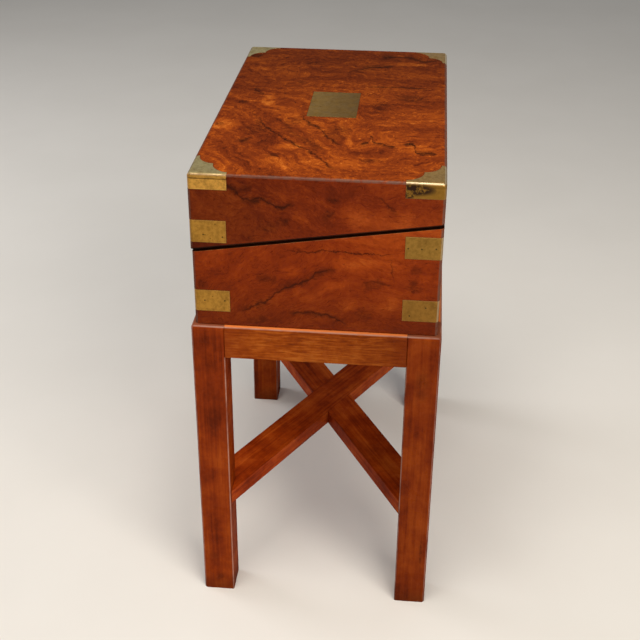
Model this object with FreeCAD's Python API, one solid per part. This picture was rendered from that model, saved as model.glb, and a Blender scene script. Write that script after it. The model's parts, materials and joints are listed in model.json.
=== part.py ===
import FreeCAD, Part
import math
import os

# A slant-cut writing box on an open stand. Millimetres, +Z up, +X along the box, hinged front at -Y.
# The origin is on the floor under the middle of the stand.

V = FreeCAD.Vector

# Writing box
desk_length = 432.0
desk_depth = 250.0
desk_height = 167.0
split_rise = 38.0  # climb of the split from the hinged front to the locked back
split_gap = 3.0
lid_overhang = 1.5  # the lid stands this far in front of the base
wall = 12.0
bottom_board = 8.0
top_board = 8.0
edge_round = 4.0
front_play = 0.3  # air between the two front faces when the lid lies open
open_play = 0.5  # air under the lid when it lies open

# Stand
stand_height = 358.0
ledge = 4.5  # the stand is this much wider than the box all round
leg_width = 35.0
leg_arris = 1.2
stand_round = 4.0
rail_depth = 37.0
rail_thickness = 22.0
rail_tenon_length = 14.0
rail_tenon_thickness = 8.0
rail_tenon_shoulder = 6.0
stretcher_width = 41.0
stretcher_thickness = 17.0
stretcher_top = 140.0
stretcher_tenon_width = 14.0
stretcher_tenon_thickness = 9.0
stretcher_overrun = 14.0  # rough length past the leg's centre, cut away by the leg

# Inlaid brass
brass = 1.2
strap_leg = 37.0
strap_height = 24.0
foot_strap_low = 15.8
rim_strap_drop = 11.9  # the back straps stop this far below the split
lid_strap_rise = 10.0  # the front straps start this far above the split
cap_flange = 16.5
cap_leg_x = 46.0
cap_leg_y = 39.0
cap_band = 5.5
cap_tip_x = 27.0
cap_tip_y = 22.0
cap_bite = 5.0  # depth of each scallop
plate_length = 84.0
plate_width = 54.0

# Lid hinges
hinge_offset = 130.0
hinge_length = 50.0
hinge_leaf_depth = 9.0
hinge_leaf = 1.2
hinge_knuckle = 2.4
hinge_knuckles = 3
hinge_pin = 1.0
pin_play = 0.05
knuckle_play = 0.4

# Writing flaps
flap = 7.0
flap_inset = 0.6  # the writing surface lies this far below the rim
flap_side_play = 0.8
flap_end_play = 1.0
flap_joint = 1.2  # gap between a flap and its batten
flap_batten = 13.0
flap_batten_thickness = 12.0
bearer_width = 10.0
bearer_height = 8.0
leather = 1.0
leather_border = 14.0
finger_notch = 9.0  # radius of the cut-out that a finger lifts the flap by
flap_hinge_length = 30.0
flap_hinge_leaf_depth = 8.0
flap_hinge_leaf = 1.0
flap_hinge_knuckle = 1.5
flap_hinge_knuckles = 2
flap_hinge_pin = 0.7
flap_hinge_drop = 0.8  # the pin lies this far below the writing surface
base_flap_hinge_offset = 110.0
lid_flap_hinge_offset = 150.0

# Pen section along the back of the base
pen_depth = 50.0
divider = 6.0
pen_floor = 5.0
bay_length = 48.0
partition = 6.0
partition_drop = 1.0  # the partitions stop this far below the rim
cleat = 8.0
tray_drop = 8.4  # the pen tray lies this far below the split at the divider
tray_height = 26.0
tray_play = 0.5
tray_lip = 9.0  # flat at each end of the scooped hollow
cove_radius = 21.0
cove_depth = 16.0

# Inkwells
well_drop = 14.0  # the inkwells' caps lie this far below the split at the divider
well_width = 43.0
well_height = 36.0
well_bevel = 4.0
well_shoulder = 2.0
well_wall = 5.0
well_floor = 5.0
neck_radius = 13.0
neck_bore = 9.5
neck_height = 5.0
cap_radius = 16.0
cap_height = 11.0
cap_bevel = 3.0
cap_fit = 0.3
cap_top = 5.0

# Box lock
lock_length = 56.0
lock_depth = 9.0
lock_height = 36.0
lock_wall = 1.5
link_plate = 1.4
link_width = 8.0
tab_spacing = 22.0
tab_thickness = 2.2
tab_width = 4.0
tab_drop = 8.0  # reach of the tabs below the middle of the split
eye_drop = 5.0
eye_width = 2.4
eye_height = 3.0
slot_play = 0.6
bolt_travel = 4.0
bolt_tip_play = 0.6
finger_width = 1.4
finger_height = 1.8
riser = 3.0
bolt_bar = 4.5
bolt_play = 0.3
bar_clear = 1.5  # air between the bar and the ends of the tabs
guide = 2.0
keyhole_radius = 2.4
keyhole_slot = 2.4
keyhole_drop = 7.5
keyhole_depth = 25.7  # the keyhole lies this far below the split
escutcheon_height = 22.0
escutcheon_width = 14.0

# Values that follow from the sizes above
beyond = 20.0  # how far a cutting block stands out past what it cuts
far = 2.0 * (desk_length + desk_depth + desk_height)
half_length = desk_length / 2
inner_half = half_length - wall
base_front = -desk_depth / 2
base_back = desk_depth / 2
lid_front = base_front - lid_overhang
hinge_y = (base_front + lid_front - front_play) / 2
hinge_z = (desk_height + open_play) / 2
slope = math.atan2(split_rise, desk_depth)
rim = split_gap / 2 + flap_inset
seat_bevel = (edge_round - brass) * (2 - math.sqrt(2))  # keeps the brass of even thickness round an arris
stand_half_x = half_length + ledge
stand_half_y = desk_depth / 2 + ledge
divider_back = base_back - wall - pen_depth
divider_front = divider_back - divider
flap_axis_s = (base_front + wall + flap_batten - hinge_y) / math.cos(slope)
flap_axis_n = rim + flap_hinge_drop
flap_half = inner_half - flap_side_play
partition_x = inner_half - bay_length

split_frame = FreeCAD.Placement(V(0, hinge_y, hinge_z), FreeCAD.Rotation(V(1, 0, 0), math.degrees(slope)))
base_flap_frame = split_frame.multiply(FreeCAD.Placement(V(0, flap_axis_s, -flap_axis_n), FreeCAD.Rotation()))
lid_flap_frame = split_frame.multiply(
    FreeCAD.Placement(V(0, flap_axis_s, flap_axis_n), FreeCAD.Rotation(V(0, 1, 0), 180)))

corners = [
    ("front_left", -1, -1),
    ("front_right", 1, -1),
    ("back_left", -1, 1),
    ("back_right", 1, 1),
]


def box(x0, x1, y0, y1, z0, z1):
    return Part.makeBox(x1 - x0, y1 - y0, z1 - z0, V(x0, y0, z0))


def rod_x(radius, x0, x1, y=0.0, z=0.0):
    return Part.makeCylinder(radius, x1 - x0, V(x0, y, z), V(1, 0, 0))


def rod_y(radius, y0, y1, z):
    return Part.makeCylinder(radius, y1 - y0, V(0, y0, z), V(0, 1, 0))


def prism(points, z0, z1):
    wire = Part.makePolygon([V(x, y, z0) for x, y in points + points[:1]])
    return Part.Face(wire).extrude(V(0, 0, z1 - z0))


def join(shapes):
    return shapes[0].multiFuse(shapes[1:]).removeSplitter()


def placed(shape, frame):
    moved = shape.copy()
    moved.Placement = frame.multiply(moved.Placement)
    return moved


def shifted(shape, x=0.0, y=0.0, z=0.0):
    return placed(shape, FreeCAD.Placement(V(x, y, z), FreeCAD.Rotation()))


def group(shapes):
    return Part.makeCompound(shapes)


def pair_along_x(shape, offset):
    return group([shifted(shape, -offset), shifted(shape, offset)])


def below_split(shape, n):
    return shape.cut(placed(box(-far, far, -far, far, n, far), split_frame))


def above_split(shape, n):
    return shape.cut(placed(box(-far, far, -far, far, -far, n), split_frame))


def split_y(s, n):
    return hinge_y + s * math.cos(slope) - n * math.sin(slope)


def split_z(y):
    return hinge_z + (y - hinge_y) * math.tan(slope)


def upright_edges(shape):
    return [edge for edge in shape.Edges if abs(edge.tangentAt(edge.FirstParameter).z) > 0.999]


def level_edges(shape, z):
    return [edge for edge in shape.Edges if abs(edge.BoundBox.ZMin - z) + abs(edge.BoundBox.ZMax - z) < 1e-6]


def rounded_block(half_x, y0, y1, height, radius):
    block = box(-half_x, half_x, y0, y1, 0, height)
    return block.makeFillet(radius, upright_edges(block) + level_edges(block, height))


# Stand

def stand_block():
    return rounded_block(stand_half_x, -stand_half_y, stand_half_y, stand_height, stand_round)


def rail_tenon_x(side_x, side_y):
    inner = stand_half_x - leg_width
    x0, x1 = sorted((side_x * inner, side_x * (inner + rail_tenon_length)))
    middle = side_y * (stand_half_y - rail_thickness / 2)
    half = rail_tenon_thickness / 2
    z0 = stand_height - rail_depth + rail_tenon_shoulder
    return box(x0, x1, middle - half, middle + half, z0, stand_height - rail_tenon_shoulder)


def rail_tenon_y(side_x, side_y):
    inner = stand_half_y - leg_width
    y0, y1 = sorted((side_y * inner, side_y * (inner + rail_tenon_length)))
    middle = side_x * (stand_half_x - rail_tenon_thickness)
    half = rail_tenon_thickness / 2
    z0 = stand_height - rail_depth + rail_tenon_shoulder
    return box(middle - half, middle + half, y0, y1, z0, stand_height - rail_tenon_shoulder)


def stretcher_turn(direction):
    angle = math.atan2(stand_half_y - leg_width / 2, stand_half_x - leg_width / 2)
    return FreeCAD.Placement(V(0, 0, 0), FreeCAD.Rotation(V(0, 0, 1), math.degrees(direction * angle)))


def leg_reach():
    return math.hypot(stand_half_x - leg_width / 2, stand_half_y - leg_width / 2)


def stretcher_tenon(side_x, side_y):
    middle = stretcher_top - stretcher_thickness / 2
    half = stretcher_tenon_thickness / 2
    x0, x1 = sorted((side_x * (leg_reach() - leg_width), side_x * leg_reach()))
    tenon = box(x0, x1, -stretcher_tenon_width / 2, stretcher_tenon_width / 2, middle - half, middle + half)
    return placed(tenon, stretcher_turn(side_x * side_y))


def leg_space(side_x, side_y, reach):
    x0, x1 = sorted((side_x * (stand_half_x - leg_width), side_x * (stand_half_x + reach)))
    y0, y1 = sorted((side_y * (stand_half_y - leg_width), side_y * (stand_half_y + reach)))
    return box(x0, x1, y0, y1, 0, stand_height)


def stand_leg(side_x, side_y):
    leg = leg_space(side_x, side_y, 0)
    inner_edges = []
    for edge in upright_edges(leg):
        middle = edge.CenterOfMass
        outside_x = middle.x * side_x > stand_half_x - leg_arris
        outside_y = middle.y * side_y > stand_half_y - leg_arris
        if not (outside_x and outside_y):
            inner_edges.append(edge)
    leg = leg.makeChamfer(leg_arris, inner_edges).common(stand_block())
    mortises = [rail_tenon_x(side_x, side_y), rail_tenon_y(side_x, side_y), stretcher_tenon(side_x, side_y)]
    return leg.cut(mortises)


def long_rail(side_y):
    y0, y1 = sorted((side_y * stand_half_y, side_y * (stand_half_y - rail_thickness)))
    half = stand_half_x - leg_width
    rail = box(-half, half, y0, y1, stand_height - rail_depth, stand_height).common(stand_block())
    return join([rail, rail_tenon_x(-1, side_y), rail_tenon_x(1, side_y)])


def short_rail(side_x):
    x0, x1 = sorted((side_x * stand_half_x, side_x * (stand_half_x - rail_thickness)))
    half = stand_half_y - leg_width
    rail = box(x0, x1, -half, half, stand_height - rail_depth, stand_height).common(stand_block())
    return join([rail, rail_tenon_y(side_x, -1), rail_tenon_y(side_x, 1)])


def stretcher_blank(direction):
    reach = leg_reach() + stretcher_overrun
    half = stretcher_width / 2
    bar = box(-reach, reach, -half, half, stretcher_top - stretcher_thickness, stretcher_top)
    bar = placed(bar, stretcher_turn(direction))
    return bar.cut([leg_space(1, direction, beyond), leg_space(-1, -direction, beyond)])


def stretcher(direction, lap_low, lap_high):
    half = stretcher_width / 2
    lap = placed(box(-far, far, -half, half, lap_low, lap_high), stretcher_turn(-direction))
    bar = stretcher_blank(direction).cut(lap)
    return join([bar, stretcher_tenon(1, direction), stretcher_tenon(-1, -direction)])


def stand_nodes():
    nodes = {}
    for name, side_x, side_y in corners:
        nodes["leg_" + name] = stand_leg(side_x, side_y)
    nodes["rail_front"] = long_rail(-1)
    nodes["rail_back"] = long_rail(1)
    nodes["rail_left"] = short_rail(-1)
    nodes["rail_right"] = short_rail(1)
    lap_middle = stretcher_top - stretcher_thickness / 2
    nodes["stretcher_lower"] = stretcher(1, lap_middle, stretcher_top + beyond)
    nodes["stretcher_upper"] = stretcher(-1, 0, lap_middle)
    return nodes


# Outer forms of the box

def base_outside():
    block = rounded_block(half_length, base_front, base_back, desk_height, edge_round)
    return below_split(block, -split_gap / 2)


def lid_outside():
    block = rounded_block(half_length, lid_front, base_back, desk_height, edge_round)
    return above_split(block, split_gap / 2)


def brass_seat(front):
    # the wood that the brass lies on, with the arrises under it bevelled
    top = desk_height - brass
    seat = box(-half_length + brass, half_length - brass, front + brass, base_back - brass, 0, top)
    return seat.makeChamfer(seat_bevel, upright_edges(seat) + level_edges(seat, top))


def base_cavity():
    return box(-inner_half, inner_half, base_front + wall, base_back - wall, bottom_board, desk_height)


def lid_cavity():
    return box(-inner_half, inner_half, lid_front + wall, base_back - wall, 0, desk_height - top_board)


# Inlaid brass, each a slice of the outer form with its seat taken away

rim_strap_low = split_z(base_back) - rim_strap_drop - strap_height
lid_strap_low = split_z(lid_front) + lid_strap_rise


def corner_region(side_x, side_y, front, leg_x, leg_y, z0, z1):
    x0, x1 = sorted((side_x * (half_length - leg_x), side_x * (half_length + beyond)))
    edge = front if side_y < 0 else base_back
    y0, y1 = sorted((edge - side_y * leg_y, edge + side_y * beyond))
    return box(x0, x1, y0, y1, z0, z1)


def base_brass_regions():
    regions = {}
    for name, side_x, side_y in corners:
        regions["base_foot_strap_" + name] = corner_region(
            side_x, side_y, base_front, strap_leg, strap_leg, foot_strap_low, foot_strap_low + strap_height)
        if side_y > 0:
            regions["base_rim_strap_" + name] = corner_region(
                side_x, side_y, base_front, strap_leg, strap_leg, rim_strap_low, rim_strap_low + strap_height)
    return regions


def bite_middle(start, end):
    # the deepest point of a scallop lies towards the corner from the middle of its chord
    chord = end.sub(start)
    inward = V(-abs(chord.y), -abs(chord.x), 0).normalize()
    return start.add(chord.multiply(0.5)).add(inward.multiply(cap_bite))


def cap_outline(side_x, side_y):
    # seen from the corner: along one edge, two scallops with a tip between them, back along the other edge
    edge = lid_front if side_y < 0 else base_back

    def at(point):
        return V(side_x * (half_length - point.x), edge - side_y * point.y, desk_height - brass)

    leg_end = V(cap_leg_x, cap_band, 0)
    tip = V(cap_tip_x, cap_tip_y, 0)
    other_end = V(cap_band, cap_leg_y, 0)
    outside = [V(-beyond, cap_leg_y, 0), V(-beyond, -beyond, 0), V(cap_leg_x, -beyond, 0)]
    path = [other_end] + outside + [leg_end]
    edges = [Part.makeLine(at(a), at(b)) for a, b in zip(path[:-1], path[1:])]
    edges.append(Part.Arc(at(leg_end), at(bite_middle(leg_end, tip)), at(tip)).toShape())
    edges.append(Part.Arc(at(tip), at(bite_middle(tip, other_end)), at(other_end)).toShape())
    return Part.Face(Part.Wire(edges))


def cap_region(side_x, side_y):
    leaf = cap_outline(side_x, side_y).extrude(V(0, 0, beyond))
    flange = corner_region(side_x, side_y, lid_front, cap_leg_x, cap_leg_y,
                           desk_height - cap_flange, desk_height - brass)
    return join([leaf, flange])


def lid_brass_regions():
    regions = {}
    for name, side_x, side_y in corners:
        regions["lid_cap_" + name] = cap_region(side_x, side_y)
        if side_y < 0:
            regions["lid_rim_strap_" + name] = corner_region(
                side_x, side_y, lid_front, strap_leg, strap_leg, lid_strap_low, lid_strap_low + strap_height)
    middle = (lid_front + base_back) / 2
    regions["lid_plate"] = box(-plate_length / 2, plate_length / 2, middle - plate_width / 2,
                               middle + plate_width / 2, desk_height - brass, desk_height + beyond)
    return regions


def brass_pieces(outside, seat, regions):
    return {name: outside.common(region).cut(seat) for name, region in regions.items()}


# Boards of the box, mitred at the corners

def mitre_wedges(front):
    inside = 2 * wall
    x0, x1 = -half_length - beyond, half_length + beyond
    y0, y1 = front - beyond, base_back + beyond
    i0, i1 = -half_length + inside, half_length - inside
    j0, j1 = front + inside, base_back - inside
    outlines = {
        "front": [(x0, y0), (x1, y0), (i1, j0), (i0, j0)],
        "back": [(x1, y1), (x0, y1), (i0, j1), (i1, j1)],
        "left": [(x0, y1), (x0, y0), (i0, j0), (i0, j1)],
        "right": [(x1, y0), (x1, y1), (i1, j1), (i1, j0)],
    }
    return {side: prism(points, -beyond, desk_height + beyond) for side, points in outlines.items()}


def base_boards(recesses):
    ring = base_outside().cut(box(-inner_half, inner_half, base_front + wall, base_back - wall, -beyond, far))
    boards = {}
    for side, wedge in mitre_wedges(base_front).items():
        boards["base_" + side] = ring.common(wedge).cut(recesses)
    boards["base_bottom"] = box(-inner_half, inner_half, base_front + wall, base_back - wall, 0, bottom_board)
    return boards


def lid_boards(recesses):
    outside = lid_outside()
    top = box(-far, far, -far, far, desk_height - top_board, far)
    ring = outside.cut([lid_cavity(), top])
    boards = {}
    for side, wedge in mitre_wedges(lid_front).items():
        boards["lid_" + side] = ring.common(wedge).cut(recesses)
    boards["lid_top"] = outside.common(top).cut(recesses)
    return boards


# Butt hinges, drawn with the pin along X

def knuckle_spans(length, count):
    # equal knuckles along the pin, taken in turn by the fixed and the moving leaf
    pitch = length / count
    starts = [k * pitch - length / 2 for k in range(count)]
    spans = [(x + knuckle_play / 2, x + pitch - knuckle_play / 2) for x in starts]
    return spans[0::2], spans[1::2]


def hinge_leaf_solid(length, knuckle, pin, plate, own, other):
    clear = knuckle + knuckle_play
    for x0, x1 in other:
        plate = plate.cut(box(x0 - knuckle_play, x1 + knuckle_play, -clear, clear, -clear, clear))
    leaf = join([plate] + [rod_x(knuckle, x0, x1) for x0, x1 in own])
    return leaf.cut(rod_x(pin + pin_play, -length, length))


def hinge_groove(length, knuckle):
    half_x = length / 2 + knuckle_play
    half = knuckle + knuckle_play
    return box(-half_x, half_x, -half, half, -half, half)


def lid_hinge_leaves():
    half = hinge_length / 2
    fixed, moving = knuckle_spans(hinge_length, hinge_knuckles)
    low = split_gap / 2
    high = low + hinge_leaf
    base_plate = box(-half, half, 0, hinge_leaf_depth, -high, -low)
    lid_plate = box(-half, half, 0, hinge_leaf_depth, low, high)
    base_leaf = hinge_leaf_solid(hinge_length, hinge_knuckle, hinge_pin, base_plate, fixed, moving)
    lid_leaf = hinge_leaf_solid(hinge_length, hinge_knuckle, hinge_pin, lid_plate, moving, fixed)
    pin = rod_x(hinge_pin, -half, half)
    return base_leaf, lid_leaf, pin


def lid_hinge_recesses():
    half = hinge_length / 2
    high = split_gap / 2 + hinge_leaf
    groove = hinge_groove(hinge_length, hinge_knuckle)
    base_recess = [box(-half, half, -beyond, hinge_leaf_depth, -high, beyond), groove]
    lid_recess = [box(-half, half, -beyond, hinge_leaf_depth, -beyond, high), groove]
    places = [-hinge_offset, hinge_offset]
    base_tools = [placed(shifted(tool, x), split_frame) for tool in base_recess for x in places]
    lid_tools = [placed(shifted(tool, x), split_frame) for tool in lid_recess for x in places]
    return base_tools, lid_tools


def lid_hinge_nodes():
    base_leaf, lid_leaf, pin = lid_hinge_leaves()
    return {
        "hinge_base_leaves": placed(pair_along_x(base_leaf, hinge_offset), split_frame),
        "hinge_lid_leaves": placed(pair_along_x(lid_leaf, hinge_offset), split_frame),
        "hinge_pins": placed(pair_along_x(pin, hinge_offset), split_frame),
    }


# Writing flaps, drawn with the flap's own pin along X and its leather facing +Z

def flap_hinge_parts():
    half = flap_hinge_length / 2
    fixed, moving = knuckle_spans(flap_hinge_length, flap_hinge_knuckles)
    top = flap_hinge_drop
    low = top - flap_hinge_leaf
    sizes = (flap_hinge_length, flap_hinge_knuckle, flap_hinge_pin)
    fixed_plate = box(-half, half, -flap_hinge_leaf_depth, 0, low, top)
    moving_plate = box(-half, half, 0, flap_hinge_leaf_depth, low, top)
    fixed_leaf = hinge_leaf_solid(*sizes, fixed_plate, fixed, moving)
    moving_leaf = hinge_leaf_solid(*sizes, moving_plate, moving, fixed)
    pin = rod_x(flap_hinge_pin, -half, half)
    return fixed_leaf, moving_leaf, pin


def flap_hinge_recesses(offset):
    half = flap_hinge_length / 2
    recess = box(-half, half, -flap_hinge_leaf_depth, flap_hinge_leaf_depth,
                 flap_hinge_drop - flap_hinge_leaf, beyond)
    tools = [recess, hinge_groove(flap_hinge_length, flap_hinge_knuckle)]
    return [shifted(tool, x) for tool in tools for x in (-offset, offset)]


def flap_parts(reach, hinge_place):
    top = flap_hinge_drop
    start = flap_joint / 2
    board = box(-flap_half, flap_half, start, reach, top - flap, top)
    inner = flap_half - leather_border
    hide = box(-inner, inner, start + leather_border, reach - leather_border, top - leather, top)
    notch = Part.makeCylinder(finger_notch, 2 * flap, V(0, reach, top - 2 * flap))
    board = board.cut([hide, notch] + flap_hinge_recesses(hinge_place))
    return board, hide


def flap_bearers(reach, hinge_place):
    top = flap_hinge_drop
    edge = -flap_joint / 2
    batten = box(-inner_half, inner_half, edge - far, edge, top - flap_batten_thickness, top)
    batten = batten.cut(flap_hinge_recesses(hinge_place))
    low = top - flap - bearer_height
    bearers = [batten]
    for side in (-1, 1):
        x0, x1 = sorted((side * inner_half, side * (inner_half - bearer_width)))
        bearers.append(box(x0, x1, edge, reach + far, low, top - flap))
    return bearers


def base_flap_reach():
    # the lower corner of the free edge is the one nearest the divider
    depth = flap_axis_n - flap_hinge_drop + flap
    return (divider_front - flap_end_play - split_y(flap_axis_s, -depth)) / math.cos(slope)


def lid_flap_reach():
    # the leather side's corner is the one nearest the back board
    return (base_back - wall - flap_end_play - split_y(flap_axis_s, rim)) / math.cos(slope)


def flap_nodes(name, frame, reach, hinge_place, space):
    board, hide = flap_parts(reach, hinge_place)
    fixed, moving, pin = flap_hinge_parts()
    bearers = [placed(bearer, frame).common(space) for bearer in flap_bearers(reach, hinge_place)]
    return {
        name + "_flap_board": placed(board, frame),
        name + "_flap_leather": placed(hide, frame),
        name + "_flap_bearers": group(bearers),
        name + "_flap_hinge_fixed": placed(pair_along_x(fixed, hinge_place), frame),
        name + "_flap_hinge_moving": placed(pair_along_x(moving, hinge_place), frame),
        name + "_flap_hinge_pins": placed(pair_along_x(pin, hinge_place), frame),
    }


def both_flap_nodes():
    front_space = base_cavity().common(box(-far, far, -far, divider_front, 0, far))
    nodes = flap_nodes("base", base_flap_frame, base_flap_reach(), base_flap_hinge_offset, front_space)
    nodes.update(flap_nodes("lid", lid_flap_frame, lid_flap_reach(), lid_flap_hinge_offset, lid_cavity()))
    return nodes


# Pen section

tray_low = split_z(divider_back) - tray_drop - tray_height
well_seat = split_z(divider_back) - well_drop - cap_height - well_height


def partition_with_cleat(side):
    y0, y1 = divider_back, base_back - wall
    x0, x1 = sorted((side * partition_x, side * (partition_x - partition)))
    upright = box(x0, x1, y0, y1, well_seat, desk_height)
    x0, x1 = sorted((side * (partition_x - partition), side * (partition_x - partition - cleat)))
    ledge_strip = box(x0, x1, y0, y1, tray_low - cleat, tray_low)
    return join([below_split(upright, -rim - partition_drop), ledge_strip])


def pen_tray():
    half = partition_x - partition - tray_play
    y0, y1 = divider_back + tray_play, base_back - wall - tray_play
    top = tray_low + tray_height
    block = box(-half, half, y0, y1, tray_low, top)
    # the hollow is a cove whose two ends slope up at 45 degrees
    long_half = half - tray_lip
    short_half = long_half - cove_depth
    low = top - cove_depth
    outline = [V(-short_half, y0, low), V(short_half, y0, low), V(long_half, y0, top), V(-long_half, y0, top)]
    ends = Part.Face(Part.makePolygon(outline + outline[:1])).extrude(V(0, y1 - y0, 0))
    cove = rod_x(cove_radius, -half, half, (y0 + y1) / 2, low + cove_radius)
    return block.cut(ends.common(cove))


def pen_section_nodes():
    y0, y1 = divider_back, base_back - wall
    long_divider = box(-inner_half, inner_half, divider_front, divider_back, bottom_board, desk_height)
    return {
        "pen_divider": below_split(long_divider, -rim),
        "pen_floor": box(-inner_half, inner_half, y0, y1, well_seat - pen_floor, well_seat),
        "bay_partitions": group([partition_with_cleat(-1), partition_with_cleat(1)]),
        "pen_tray": pen_tray(),
    }


# Inkwells

def bevelled_square(half, z0, z1):
    block = box(-half, half, -half, half, z0, z1)
    return block.makeChamfer(well_bevel, upright_edges(block))


def inkwell():
    half = well_width / 2
    body = bevelled_square(half, 0, well_height)
    body = body.makeChamfer(well_shoulder, level_edges(body, well_height))
    neck = Part.makeCylinder(neck_radius, neck_height, V(0, 0, well_height))
    hollow = bevelled_square(half - well_wall, well_floor, well_height - well_wall)
    bore = Part.makeCylinder(neck_bore, well_height + neck_height, V(0, 0, well_floor))
    return join([body, neck]).cut([hollow, bore])


def inkwell_cap():
    body = Part.makeCylinder(cap_radius, cap_height)
    body = body.makeChamfer(cap_bevel, level_edges(body, cap_height))
    return body.cut(Part.makeCylinder(neck_radius + cap_fit, cap_height - cap_top))


def inkwell_nodes():
    place_x = inner_half - bay_length / 2
    place_y = divider_back + pen_depth / 2
    return {
        "inkwell_left": shifted(inkwell(), -place_x, place_y, well_seat),
        "inkwell_right": shifted(inkwell(), place_x, place_y, well_seat),
        "inkwell_caps": shifted(pair_along_x(inkwell_cap(), place_x), 0, place_y, well_seat + well_height),
    }


# Box lock in the back board and its link plate in the lid

lock_front = base_back - wall
lock_middle = lock_front + lock_depth / 2
lock_low = split_z(lock_middle) - lock_height
keyhole_z = split_z(lock_middle) - keyhole_depth
tab_s = (lock_middle - hinge_y - eye_drop * math.sin(slope)) / math.cos(slope)
tab_places = [-tab_spacing / 2, tab_spacing / 2]


def lock_space():
    case = box(-lock_length / 2, lock_length / 2, lock_front, lock_front + lock_depth, lock_low, far)
    return below_split(case, -split_gap / 2)


def keyhole(y0, y1):
    half = keyhole_slot / 2
    slot = box(-half, half, y0, y1, keyhole_z - keyhole_drop, keyhole_z)
    return join([rod_y(keyhole_radius, y0, y1, keyhole_z), slot])


def tab(x, grow=0.0, eye=True):
    half = tab_thickness / 2 + grow
    width = tab_width / 2 + grow
    strip = box(x - half, x + half, tab_s - width, tab_s + width, -tab_drop - grow, split_gap / 2)
    if eye:
        strip = strip.cut(box(x - far, x + far, tab_s - eye_width / 2, tab_s + eye_width / 2,
                              -eye_drop - eye_height / 2, -eye_drop + eye_height / 2))
    return strip


def finger_z():
    return split_z(lock_middle) - eye_drop / math.cos(slope)


def bolt_bar_top():
    return split_z(lock_middle) - tab_drop / math.cos(slope) - bar_clear


def lock_bolt():
    half = lock_depth / 2 - lock_wall - bolt_play
    y0, y1 = lock_middle - half, lock_middle + half
    z1 = bolt_bar_top()
    finger = bolt_travel + bolt_tip_play
    finger_y0, finger_y1 = lock_middle - finger_width / 2, lock_middle + finger_width / 2
    low, high = finger_z() - finger_height / 2, finger_z() + finger_height / 2
    parts = []
    for x in tab_places:
        tip = x - tab_thickness / 2 - bolt_tip_play
        root = tip - finger
        parts.append(box(root, tip, finger_y0, finger_y1, low, high))
        parts.append(box(root - riser, root, finger_y0, finger_y1, z1 - bolt_bar, high))
    x0 = tab_places[0] - tab_thickness / 2 - bolt_tip_play - finger - riser
    parts.insert(0, box(x0, tab_places[1], y0, y1, z1 - bolt_bar, z1))
    return join(parts)


def lock_case():
    inset = lock_wall
    space = box(-lock_length / 2 + inset, lock_length / 2 - inset, lock_front + inset,
                lock_front + lock_depth - inset, lock_low + inset, far)
    case = lock_space().cut(below_split(space, -split_gap / 2 - inset))
    slots = [placed(tab(x, slot_play, False), split_frame) for x in tab_places]
    case = case.cut(slots + [keyhole(lock_middle, base_back)])
    rest_top = bolt_bar_top() - bolt_bar - bolt_play
    rest = box(-lock_length / 2 + inset, lock_length / 2 - inset, lock_front + inset,
               lock_front + lock_depth - inset, rest_top - guide, rest_top)
    return join([case, rest])


def link_plate_space(low):
    half = lock_length / 2
    return box(-half, half, tab_s - link_width / 2, tab_s + link_width / 2, low, split_gap / 2 + link_plate)


def lock_link():
    link = join([link_plate_space(split_gap / 2)] + [tab(x) for x in tab_places])
    return placed(link, split_frame)


def escutcheon():
    # a plate with round ends, centred on the whole keyhole
    radius = escutcheon_width / 2
    middle = keyhole_z + (keyhole_radius - keyhole_drop) / 2
    low, high = middle - escutcheon_height / 2 + radius, middle + escutcheon_height / 2 - radius
    y0, y1 = base_back - brass, base_back
    ends = [rod_y(radius, y0, y1, z) for z in (low, high)]
    return join([box(-radius, radius, y0, y1, low, high)] + ends)


def lock_nodes():
    return {
        "lock_case": lock_case(),
        "lock_bolt": lock_bolt(),
        "lock_link_plate": lock_link(),
        "keyhole_plate": escutcheon().cut(keyhole(lock_middle, base_back + beyond)),
    }


# The whole box, drawn with its underside at zero

def desk_nodes():
    base_regions = base_brass_regions()
    lid_regions = lid_brass_regions()
    base_seat = brass_seat(base_front)
    lid_seat = brass_seat(lid_front)
    base_hinge_tools, lid_hinge_tools = lid_hinge_recesses()
    base_recesses = [region.cut(base_seat) for region in base_regions.values()] + base_hinge_tools
    base_recesses += [lock_space(), escutcheon(), keyhole(lock_middle, base_back + beyond)]
    lid_recesses = [region.cut(lid_seat) for region in lid_regions.values()] + lid_hinge_tools
    lid_recesses.append(placed(link_plate_space(-beyond), split_frame))
    nodes = base_boards(base_recesses)
    nodes.update(brass_pieces(base_outside(), base_seat, base_regions))
    nodes.update(lid_boards(lid_recesses))
    nodes.update(brass_pieces(lid_outside(), lid_seat, lid_regions))
    nodes.update(lid_hinge_nodes())
    nodes.update(both_flap_nodes())
    nodes.update(pen_section_nodes())
    nodes.update(inkwell_nodes())
    nodes.update(lock_nodes())
    return {name: shifted(shape, 0, 0, stand_height) for name, shape in nodes.items()}


def main():
    os.makedirs("parts", exist_ok=True)
    nodes = stand_nodes()
    nodes.update(desk_nodes())
    for name, shape in nodes.items():
        shape.exportStep("parts/" + name + ".step")
    print(len(nodes), "pieces written")


main()
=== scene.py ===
import json
import math
from functools import partial

import bpy
import numpy as np
from mathutils import Matrix, Vector


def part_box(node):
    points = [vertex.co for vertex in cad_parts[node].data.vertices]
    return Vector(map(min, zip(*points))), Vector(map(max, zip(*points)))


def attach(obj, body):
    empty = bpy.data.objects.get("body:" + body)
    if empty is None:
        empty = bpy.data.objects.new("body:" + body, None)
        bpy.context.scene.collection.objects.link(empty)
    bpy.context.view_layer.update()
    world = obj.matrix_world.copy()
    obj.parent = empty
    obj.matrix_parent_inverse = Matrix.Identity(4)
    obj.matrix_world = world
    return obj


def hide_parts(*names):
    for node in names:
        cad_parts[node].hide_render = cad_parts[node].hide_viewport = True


# Looks of a slant-cut writing box on its stand. Metres, +Z up, hinged front at -Y, shown end at +X.

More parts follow.
